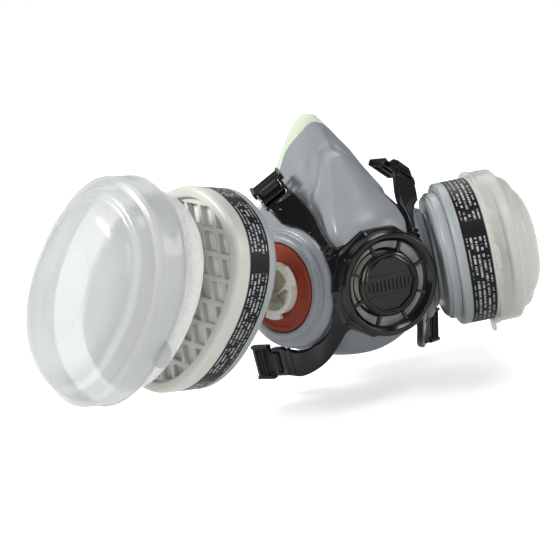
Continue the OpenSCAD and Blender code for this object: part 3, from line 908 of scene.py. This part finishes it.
def sheet_field(sheet, points, limit=9.0, edge=0.75):
    """Distance to a sheet thickened by ARM_HALF to each side."""
    d = np.full(len(points), limit)
    for i, p in enumerate(points.tolist()):
        spot, n, _, dist = sheet.find_nearest(p, limit)
        if spot is None:
            continue
        off = abs((p[0] - spot[0]) * n[0] + (p[1] - spot[1]) * n[1] + (p[2] - spot[2]) * n[2])
        beside = math.sqrt(max(dist * dist - off * off, 0))
        above = off - (ARM_HALF - edge)
        outside = above > 0 or beside > 1e-6
        d[i] = (math.hypot(max(above, 0), beside) if outside else above) - edge
    return d


def arm_ribs():
    """Ends of the three ribs across the upper arm."""
    top, bottom, normals = arm_curves(*ARM_EDGES["upper"])
    ribs = []
    for place in (9.0, 10.3, 11.6):  # in curve points from the housing
        i = int(place)
        f = place - i
        start = top[i] * (1 - f) + top[i + 1] * f
        end = bottom[i] * (1 - f) + bottom[i + 1] * f
        ribs.append([start + (end - start) * share + normals[i] * 0.3
                     for share in (0.12, 0.82)])
    return ribs


RIBS = arm_ribs()
# Outline of the saddle round the housing, (|x|, z).
SADDLE = [(8, 14), (22, 17), (31, 12), (38, 2), (40, -10), (37, -24), (30, -30), (19, -25),
          (6, -10)]
HOUSING_MIDDLE, HOUSING_HALF = 65.9, 4.7  # in front of the origin, along -Y
HOUSING_R = 27.6  # to the decagon's corners


def housing_field(x, forward, z, from_axis):
    """Ten-sided housing with a chamfered front and a round collar."""
    to_flat = np.full(x.shape, -1e9)
    for k in range(10):
        angle = math.radians(18 + 36 * k)
        to_flat = np.maximum(to_flat, x * math.cos(angle) + z * math.sin(angle))
    to_flat = to_flat - HOUSING_R * math.cos(math.radians(18))
    d = intersect(to_flat, np.abs(forward - HOUSING_MIDDLE) - HOUSING_HALF, blend=0.4)
    chamfer = to_flat + forward - (HOUSING_MIDDLE + HOUSING_HALF) + 1.9
    d = intersect(d, chamfer / math.sqrt(2), blend=0.3)
    collar = cylinder_field(from_axis, forward, radius=25.2, bottom=60, top=73.6, edge=1.1)
    return union(d, collar, blend=0.6)


def add_arm_end(d, key, point):
    """Two lugs with the buckle's bar between them, and raised bars on the arm."""
    q = ARM_END[key].to_local(point)
    x, y, z = q.T
    for side in (LEFT, RIGHT):
        lug = box_field(q, centre=[side * 6.45, -1.6, 0.0], half=[1.05, 3.4, 1.65], edge=0.45)
        d = union(d, lug, blend=0.6)
    pin = np.where(np.abs(x) < 6.6, length(y, z) - 1.3, np.abs(x) - 6.5)
    d = union(d, pin, blend=0.15)
    if key == "upper":  # raised frame round a slot, and a stud
        rim = box_field(q, centre=[0, -6.6, 1.2], half=[7.6, 2.5, 1.15], edge=0.4)
        slot = box_field(q, centre=[0, -6.6, 1.6], half=[5.9, 0.95, 2.6], edge=0.3)
        stud = np.linalg.norm(q - np.array([1.2, -13.0, 1.7]), axis=-1) - 0.75
        d = carve(union(d, rim, blend=0.5), slot, blend=0.3)
        return union(d, stud, blend=0.3)
    for bar_y in (-5.4, -8.6):
        rib = box_field(q, centre=[0, bar_y, 1.3], half=[7.2, 0.8, 1.1], edge=0.4)
        d = union(d, rib, blend=0.5)
    return d


def yoke_field(point):
    x, y, z = point.T
    across = np.abs(x)
    folded = np.stack([across, y, z], -1)
    forward = -y
    from_axis = length(across, z)
    d = housing_field(x, forward, z, from_axis)
    # saddle that hugs the facepiece round the housing
    plain = plain_field(point)
    saddle = intersect(plain - 3.0, -(plain + 0.5), blend=0.8)
    region = np.minimum(from_axis - 27.0, polygon_field(across, z, SADDLE))
    d = union(d, intersect(saddle, region, blend=1.2), blend=1.6)
    near = (np.abs(across - 30) < 22) & (np.abs(y + 49) < 27) & (np.abs(z) < 60)
    arms = np.full(x.shape, 9.0)
    upper, lower = [sheet_field(ARM_SHEET[key], folded[near]) for key in ("upper", "lower")]
    arms[near] = union(upper, lower, blend=2.0)
    d = union(d, arms, blend=3.0)
    for start, end in RIBS:
        d = union(d, capsule_field(folded, start, end, radius=0.72), blend=0.25)
    for key in ("upper", "lower"):
        d = add_arm_end(d, key, folded)
    # hole for the valve, and the cover's wider seat in front of it
    d = carve(d, np.maximum(from_axis - 16.6, 40 - forward), blend=0.3)
    d = carve(d, np.maximum(from_axis - 22.2, 69.0 - forward), blend=0.25)
    # open round the port surrounds
    r, height = port_coords(point)
    return carve(d, np.maximum(r - 31.75, -16 - height), blend=0.4)


make("front_yoke_moulding",
     mesh_field(yoke_field, [-50, -75.5, -52], [50, -26, 58], step=0.66 * GRID_SCALE, pulls=1),
     GLOSS_BLACK, "facepiece", "front_yoke")


# ------------------------------------------------------------------ exhalation valve
# Profiles are (radius, height), heights measured forwards from the origin.
def valve_cover():
    rim = fillet([(COVER_OPEN_R + 0.4, 69.1), (22.1, 69.1), (22.1, 73.6), (COVER_R, 73.6),
                  (COVER_R, 75.5), (24.4, 76.5), (22.6, 76.5), (COVER_OPEN_R, 74.4)],
                 [0.2, 0.2, 0.1, 0.3, 0.5, 0.7, 0.7, 0.5])
    plate = fillet([(0.02, 72.4), (PLATE_R, 72.4), (PLATE_R, 74.7), (PLATE_R - 1.2, 75.4),
                    (PLATE_R - 2.0, 75.4), (PLATE_R - 2.5, 74.8), (0.02, 74.8)],
                   [0, 0.2, 0.4, 0.3, 0.3, 0.2, 0], steps=4)
    ten_sided = fillet([(12.9, 74.6), (14.2, 74.6), (14.2, 75.5), (13.4, 75.9), (12.9, 75.9)],
                       [0, 0, 0.2, 0.2, 0.2], steps=3)
    parts = [lathe(rim, VALVE, 160), lathe(plate, VALVE, 120), lathe(ten_sided, VALVE, 10)]
    for i in range(8):
        parts.append(spoke(22.5 + 45 * i, inner=PLATE_R - 0.5, outer=21.6, width=1.5,
                           bottom=72.3, top=74.3, place=VALVE, chamfer=0.3))
    # a row of upright ribs in the middle; the end ones are shorter
    for i in range(-5, 6):
        x = i * 2.15
        half = 2.7 if abs(i) < 5 else 1.9
        parts.append(bar((x, -half - 0.4), (x, half - 0.4), width=0.95, bottom=74.6,
                         top=75.35, place=VALVE))
    for side in (-1, 1):  # lines above and below the row
        y = side * 5.0 - 0.4
        parts.append(bar((-10.2, y), (10.2, y), width=0.7, bottom=74.6, top=75.15,
                         place=VALVE, chamfer=0.2))
    return join(parts)


def valve_seat():
    ring = fillet([(13.2, 56), (16.5, 56), (16.5, 66), (13.5, 66), (13.5, 66.4), (12.2, 66.4),
                   (12.2, 64.4), (13.2, 64.4)], 0.2, steps=3)
    stem = [(0.02, 64), (2.2, 64), (2.2, 66), (0.9, 66.1), (0.9, 69.2), (1.6, 69.25),
            (1.55, 69.7), (1.1, 69.9), (0.02, 69.95)]
    parts = [lathe(ring, VALVE, 96), lathe(stem, VALVE, 32)]
    for i in range(4):
        parts.append(spoke(45 + 90 * i, inner=1.5, outer=13.4, width=1.8, bottom=64, top=66,
                           place=VALVE))
    return join(parts)


def valve_flange():
    return lathe(fillet([(16.9, 69.02), (21.9, 69.02), (21.9, 69.9), (21.2, 70.0),
                         (20.4, 69.5), (17.2, 69.5)], 0.12, steps=3), VALVE, 128)


make("exhalation_cover_slotted", valve_cover(), GLOSS_BLACK, "facepiece",
     "exhalation_cover", sharp=40)
make("exhalation_valve_seat_spoked", valve_seat(), BUCKLE_BLACK, "facepiece",
     "exhalation_valve_seat", sharp=40)
make("exhalation_seat_flange", valve_flange(), FLANGE_PALE, "facepiece",
     sharp=40)


# ------------------------------------------------------------------ ports
def bayonet_socket(place):
    tube = fillet([(10.6, -6.9), (10.4, -6.9), (10.4, -11.6), (17.5, -11.6), (17.5, -9.7),
                   (13, -9.7), (13, 3.4), (12.6, 4), (11.0, 4), (10.6, 3.6)],
                  [0.1, 0.1, 0.4, 0.6, 0.5, 0.3, 0.3, 0.2, 0.2, 0.3], steps=4)
    parts = [lathe(tube, place, 96)]
    for i in range(3):
        parts.append(sector(inner=12.6, outer=15.4, half=20, middle=120 * i, bottom=1.9,
                            top=4.0, place=place))
        parts.append(spoke(60 + 120 * i, inner=1.2, outer=10.6, width=1.5, bottom=-9,
                           top=-7.2, place=place))
    stem = [(0.02, -12.8), (1.5, -12.8), (1.6, -12.3), (0.9, -12.2), (0.9, -9.1),
            (2.4, -9.0), (2.4, -7.4), (2.2, -7.2), (0.02, -7.2)]
    parts.append(lathe(stem, place, 32))
    return join(parts)


GASKET = fillet([(13.15, -3), (GASKET_R, -3), (GASKET_R, -0.55), (21.3, 0), (19.6, 0.0),
                 (19.3, -0.3), (16.2, -0.3), (15.9, 0), (13.9, 0), (13.15, -0.6)],
                [0.1, 0.1, 0.3, 0.25, 0.1, 0.1, 0.1, 0.1, 0.25, 0.2], steps=4)

for side, side_name in SIDES.items():
    make(side_name + "_bayonet_socket", bayonet_socket(PORT[side]), OFF_WHITE, "facepiece",
         side_name + "_inhalation_connector", sharp=40)
    make(side_name + "_port_gasket_ring", lathe(GASKET, PORT[side], 160), GASKET_RED,
         "facepiece", side_name + "_port_gasket", sharp=45)

# ------------------------------------------------------------------ strap buckles
# Degrees each buckle is turned about the bar at its arm's end.
BUCKLE_TILT = {"upper": {LEFT: -42.0, RIGHT: -60.0}, "lower": {LEFT: -6.0, RIGHT: 20.0}}


def buckle_field(point):
    """X runs along the bar the buckle turns on, Y out to the strap."""
    x, y, z = point.T
    from_bar = length(y, z)
    d = cylinder_field(from_bar, x, radius=2.5, bottom=-5.2, top=5.2, edge=0.4)
    neck = box_field(point, centre=[0, 2.4, 0], half=[5.2, 2.4, 1.3], edge=0.3)
    plate = box_field(point, centre=[0, 9.1, 0], half=[9, 5.5, 1.3], edge=0.5)
    d = union(union(d, neck, blend=0.8), plate, blend=0.6)
    for side in (LEFT, RIGHT):
        rail = box_field(point, centre=[side * 8.2, 9.1, 0.5], half=[0.85, 5.4, 1.7], edge=0.4)
        d = union(d, rail, blend=0.3)
    for i in range(4):  # wedge-shaped teeth
        along, above = y - (4.9 + 2.5 * i), z - 1.3
        slope = (along * 0.5 + above * 0.87) - 0.55
        tooth = np.maximum(np.maximum(slope, -along - 0.5), -above - 0.4)
        d = union(d, np.maximum(tooth, np.abs(x) - 7.4), blend=0.12)
    for slot_y in (6.7, 11.5):
        slot = box_field(point, centre=[0, slot_y, 0], half=[6.5, 0.95, 5.0], edge=0.4)
        d = carve(d, slot, blend=0.25)
    return carve(d, from_bar - 1.38, blend=0.1)


buckle_points, buckle_faces = mesh_field(buckle_field, [-10.2, -3.6, -3.4],
                                         [10.2, 15.8, 3.6], step=0.36)
for key, tilts in BUCKLE_TILT.items():
    for side, tilt in tilts.items():
        points = ARM_END[key].to_world(buckle_points @ rotation([1, 0, 0], tilt).T)
        faces = buckle_faces
        if side == LEFT:
            points = points * MIRROR
            faces = [face[::-1] for face in faces]
        name = "%s_%s_buckle" % (key, SIDES[side])
        make(name + "_toothed", (points, faces), BUCKLE_BLACK, name, name)

# ------------------------------------------------------------------ cartridges
# Heights run outwards from the port. Oval profiles are (growth of the outline, height).
BAND_BOTTOM, BAND_TOP = 12.5, 24.0
PAD_HEIGHT = 33.75


def case_mesh(place):
    """Side wall and back flange, with a shallow recess for the printed band."""
    profile = fillet([(-1.8, 24.3), (-1.8, 10), (-16, 10), (-16, 8.05), (0, 8.05), (0, 12.4),
                      (-0.45, 12.4), (-0.45, 24.1), (0, 24.1), (0, 24.3)],
                     [0.2, 0.5, 0.3, 0.3, 1.5, 0.25, 0.1, 0.1, 0.1, 0.1])
    return loft([(oval_ring, profile)], place, 224)


def back_lid(place):
    """Back cover with its round sealing rim, bayonet tabs and stiffening ribs."""
    sections = [
        (circle_ring, [(16.9, 0.3), (16.9, 8.0)]),
        (oval_ring, [(-6, 8.0), (-4.4, 8.0), (-4.05, 7.7), (-4.0, 7.0), (-4.0, 4.3),
                     (-4.4, 3.6), (-5.2, 3.35), (-5.5, 3.1), (-5.6, 2.4), (-6.2, 1.9),
                     (-9, 1.8)]),
        (circle_ring, [(24.0, 1.75), (23.2, 1.5), (23.0, 1.1), (23.0, 0.4), (22.6, 0.02),
                       (17.3, 0.02)])]
    parts = [loft(sections, place, 224)]
    for i in range(3):
        parts.append(sector(inner=14.1, outer=17.2, half=19,
                            middle=-(180 - FREE_LEAN) + 60 + 120 * i, bottom=0.25, top=1.2,
                            place=place, chamfer=0.15))
    for i in range(4):
        parts.append(spoke(45 + 90 * i, inner=23.6, outer=27.5, width=1.4, bottom=1.2,
                           top=2.4, place=place, chamfer=0.3))
    return join(parts)


def lattice_field(point):
    """Two families of slanting bars, cut to the oval."""
    x, y, z = point.T

    def bars(degrees, pitch, half_width, half_depth):
        angle = math.radians(degrees)
        w = x * math.cos(angle) + y * math.sin(angle)
        beside = np.abs(((w + pitch / 2) % pitch) - pitch / 2) - half_width
        return intersect(beside, np.abs(z - 28.0) - half_depth, blend=0.25)

    d = union(bars(28.0, pitch=10.4, half_width=1.15, half_depth=1.7),
              bars(-40.0, pitch=8.2, half_width=0.95, half_depth=1.55), blend=0.5)
    return intersect(d, oval_field(x, y, grow=-4.4), blend=0.2)


lattice_points, lattice_faces = mesh_field(lattice_field, [-46.5, -34.5, 25.7],
                                           [46.5, 34.5, 30.4], step=0.55 * GRID_SCALE)


def front_grille(place):
    rim = fillet([(-5, 25.9), (-0.6, 25.9), (-0.6, 24.35), (0.0, 24.35), (0.0, 32), (-5, 32),
                  (-5.0, 29.5)], [0.2, 0.1, 0.1, 0.3, 2.3, 1.5, 0.3], steps=7)
    return join([loft([(oval_ring, rim)], place, 224),
                 (place.to_world(lattice_points), lattice_faces)])


def scrim(place):
    """Thin sheet behind the lattice."""
    return loft([(oval_ring, [(-5.2, 26.0), (-5.2, 26.5)]),
                 (scaled_ring, [(0.95, 26.6), (0.5, 26.7), (0.02, 26.7), (0.02, 26.0),
                                (0.95, 25.95)])], place, 160)


def make_band(place, side_name):
    """Printed band, with a UV map in mm: u round the case, v across the band."""
    count = 256
    profile = [(-0.40, BAND_BOTTOM), (-0.02, BAND_BOTTOM), (-0.02, BAND_TOP),
               (-0.40, BAND_TOP)]
    band = make(side_name + "_printed_band", loft([(oval_ring, profile)], place, count),
                BAND_PRINT, side_name + "_cartridge",
                side_name + "_label_band", sharp=40)
    outline = oval_ring(0, 0, count)
    steps = np.linalg.norm(np.roll(outline, -1, 0) - outline, axis=1)
    around = np.concatenate([[0], np.cumsum(steps)])
    uv_values = []
    for polygon in band.data.polygons:
        places = [v % count for v in polygon.vertices]
        at_seam = max(places) - min(places) > count // 2
        for v, i in zip(polygon.vertices, places):
            u = around[count] if (at_seam and i == 0) else around[i]
            uv_values += [u, profile[v // count][1] - BAND_BOTTOM]
    band.data.uv_layers.new(name="band").data.foreach_set("uv", uv_values)


def felt_pad():
    """Felt disc with a crimped rim, a thicker middle and slightly uneven faces."""
    count, face_rings = 160, 22
    phase = np.random.default_rng(7).uniform(0, 6.28, (6,))
    c, s = unit_circle(count)
    angle = np.arctan2(s, c)
    outline = oval_ring(-2.9, 0, count)

    def unevenness(share, face):
        waves = (0.16 * np.sin(3 * angle + phase[0] + face) * share
                 + 0.12 * np.sin(5 * angle + phase[1] + 2 * share + face)
                 + 0.10 * np.sin(9 * share + 4 * angle + phase[2])
                 + 0.07 * np.sin(11 * angle + phase[3] + 7 * share))
        return waves * min(1, share * 3)

    def ring(share, rise):
        return outline * [share, share, 1] + [0, 0, PAD_HEIGHT + rise]

    def face_ring(share, face):
        rim = fade(0.88, 1.0, share)
        half = 1.42 * (1 - 0.62 * rim) + 0.10 * math.cos(share * 3)
        points = ring(share, face * half)
        points[:, 2] += unevenness(share, face) * (1 - 0.7 * rim)
        return points

    shares = [math.sin(0.5 * math.pi * (j + 0.25) / face_rings) for j in range(face_rings)]
    edge = [(0.992, -0.3162), (1.0, -0.1836), (1.003, 0.0), (1.0, 0.1836), (0.992, 0.3162)]
    rings = [face_ring(share, -1) for share in shares]
    rings += [ring(share, rise) for share, rise in edge]
    rings += [face_ring(share, 1) for share in reversed(shares)]
    return rings_mesh(rings, capped=True)


pad_points, pad_faces = felt_pad()

# Retainer skirt and shoulder: outer wall going up, inner wall coming down.
RETAINER_OUTER = [
    (2.7, 25.4), (2.7, 26.5), (2.05, 27.0), (2.0, 36.0), (1.5, 37.3), (0.3, 38.2),
    (-1.3, 38.6), (-2.0, 39.6), (-3.3, 42.4), (-4.4, 43.7), (-6.6, 44.2), (-7.8, 44.8),
    (-9.2, 46.3), (-11.4, 48.0), (-14.0, 49.2), (-17.0, 49.9)]
RETAINER_INNER = [
    (-17.4, 48.9), (-14.5, 48.2), (-12.0, 47.1), (-10.2, 45.6), (-8.8, 44.0), (-7.4, 43.3),
    (-5.2, 42.8), (-4.4, 41.9), (-3.1, 39.2), (-2.1, 37.7), (-0.5, 37.2), (0.3, 36.6),
    (0.75, 35.6), (0.8, 27.0), (0.8, 25.4)]
# Its middle, as (share of the small oval, height): outer face inwards, inner face back out.
RETAINER_MIDDLE = [
    (0.97, 50.15), (0.90, 50.4), (0.80, 50.65), (0.72, 50.75), (0.68, 50.45), (0.64, 50.15),
    (0.58, 50.15), (0.45, 50.35), (0.3, 50.5), (0.15, 50.6), (0.001, 50.65),
    (0.001, 49.5), (0.3, 49.4), (0.6, 49.1), (0.72, 49.6), (0.8, 49.5), (0.95, 49.15)]


def retainer(place):
    """Snap-over cap with two round pull tabs on its flange."""
    tab_r, tab_out = 6.2, 2.2
    parts = [loft([(oval_ring, spline(RETAINER_OUTER, per_span=3)),
                   (scaled_ring, RETAINER_MIDDLE),
                   (oval_ring, spline(RETAINER_INNER, per_span=3))], place, 224)]
    arc = [(-math.cos(angle) * tab_r, math.sin(angle) * tab_r)
           for angle in np.linspace(-1, 1, 25) * math.radians(105)]
    end_tab = [(-CASE_A - tab_out + out, across) for out, across in arc]
    side_tab = [(across, -CASE_B - tab_out + out) for out, across in arc]
    for outline in (end_tab, side_tab):
        parts.append(prism(outline, bottom=25.35, top=26.9, place=place, chamfer=0.45))
    return join(parts)


def make_cartridge(side):
    place, name = CARTRIDGE[side], SIDES[side]
    body = name + "_cartridge"
    make(body + "_case", case_mesh(place), CASE_GREY, body,
         body + "_shell", sharp=38)
    make(body + "_back_lid", back_lid(place), CASE_GREY, body,
         body + "_back_cover", sharp=40)
    make(body + "_front_grille", front_grille(place), CREAM, body,
         name + "_face_grille", sharp=50)
    make(body + "_scrim", scrim(place), SCRIM_FELT, body)
    make_band(place, name)
    pad_place = place.raised(PAD_TRAVEL[side])
    make(name + "_felt_pad", (pad_place.to_world(pad_points), pad_faces), PAD_FELT,
         name + "_pad", name + "_filter_pad")
    make(name + "_milky_retainer", retainer(place.raised(RETAINER_TRAVEL[side])),
         RETAINER_MILKY[side], name + "_retainer",
         name + "_filter_retainer", sharp=55)


for side in SIDES:
    make_cartridge(side)

# ------------------------------------------------------------------ CAD pieces that stay
KEPT = {"exhalation_valve": FLAP, "left_inhalation_valve": FLAP,
        "right_inhalation_valve": FLAP, "left_carbon_bed": CARBON,
        "right_carbon_bed": CARBON, "left_outlet_screen": SCREEN,
        "right_outlet_screen": SCREEN}
for name, material in KEPT.items():
    piece = CAD_PIECES[name]
    if piece.material_slots:
        for material_slot in piece.material_slots:
            material_slot.material = material
    else:
        piece.data.materials.append(material)


# ------------------------------------------------------------------ floor, lights, camera
# Everything from here on is in metres.
def pale_floor():
    """Pale floor that glows to white away from the mask, for the camera only."""
    material = bpy.data.materials.new("pale_floor")
    g = Graph(material)
    g.surface(Base_Color=(0.90, 0.90, 0.90), Roughness=0.9, Specular_IOR_Level=0.1,
              Emission_Color=(1, 1, 1))
    seen = g.node("LightPath").outputs["Is Camera Ray"]
    position = g.node("NewGeometry").outputs["Position"]
    distance = g.node("VectorMath", {0: position}, operation="LENGTH").outputs["Value"]
    glow = g.map(distance, span=(0.22, 0.55), to=(0.52, 1.0))
    g.surface(Emission_Strength=g.both(seen, glow))
    return material


bpy.ops.mesh.primitive_plane_add(size=80, location=(0, 0, -0.062))
floor = bpy.context.object
floor.name = "studio_floor"
floor.data.materials.append(pale_floor())

world = bpy.data.worlds.new("studio")
bpy.context.scene.world = world
world_graph = Graph(world)
seen = world_graph.node("LightPath").outputs["Is Camera Ray"]
# white where the camera sees it, but only a weak fill light
world_graph.fill(world_graph.tree.nodes["Background"], {
    "Color": (1, 1, 1), "Strength": world_graph.map(seen, span=(0, 1), to=(0.14, 1.0))})


def area_light(name, place, target, size, watts):
    data = bpy.data.lights.new(name, "AREA")
    data.shape = "RECTANGLE"
    data.size, data.size_y = size
    data.energy = watts
    light = bpy.data.objects.new(name, data)
    bpy.context.collection.objects.link(light)
    light.location = place
    aim = Vector(target) - Vector(place)
    light.rotation_euler = aim.to_track_quat("-Z", "Y").to_euler()


# Name, place, target, size, watts.
LIGHTS = [
    ("key_left", (-0.88, 0.02, 0.58), (-0.01, -0.03, 0), (0.26, 0.26), 10.0),
    ("top_front", (0.22, -0.42, 0.86), (0.01, -0.03, 0), (0.4, 0.28), 2.6),
    ("right_wall", (0.80, -0.55, 0.30), (0.05, -0.03, 0), (0.25, 0.5), 3.4),
    ("front_strip", (-0.42, -0.80, 0.30), (-0.02, -0.04, 0), (0.05, 0.6), 1.6),
    ("back_rim", (0.1, 0.6, 0.55), (0, 0, 0.02), (0.8, 0.4), 2.0)]
for light_row in LIGHTS:
    area_light(*light_row)

camera_data = bpy.data.cameras.new("camera")
camera = bpy.data.objects.new("camera", camera_data)
bpy.context.collection.objects.link(camera)
camera_data.lens = 69.6
camera_data.sensor_width = 36
camera_data.clip_start, camera_data.clip_end = 0.01, 20
# Rows, before transposing: the camera's right, up and backward directions, then its place.
camera.matrix_world = Matrix((
    (0.91297, -0.39206, -0.11303, 0),
    (0.18383, 0.14792, 0.97176, 0),
    (-0.36427, -0.90797, 0.20712, 0),
    (-0.2366, -0.5247, 0.1151, 1))).transposed()
bpy.context.scene.camera = camera
bpy.context.scene.view_settings.view_transform = "Standard"
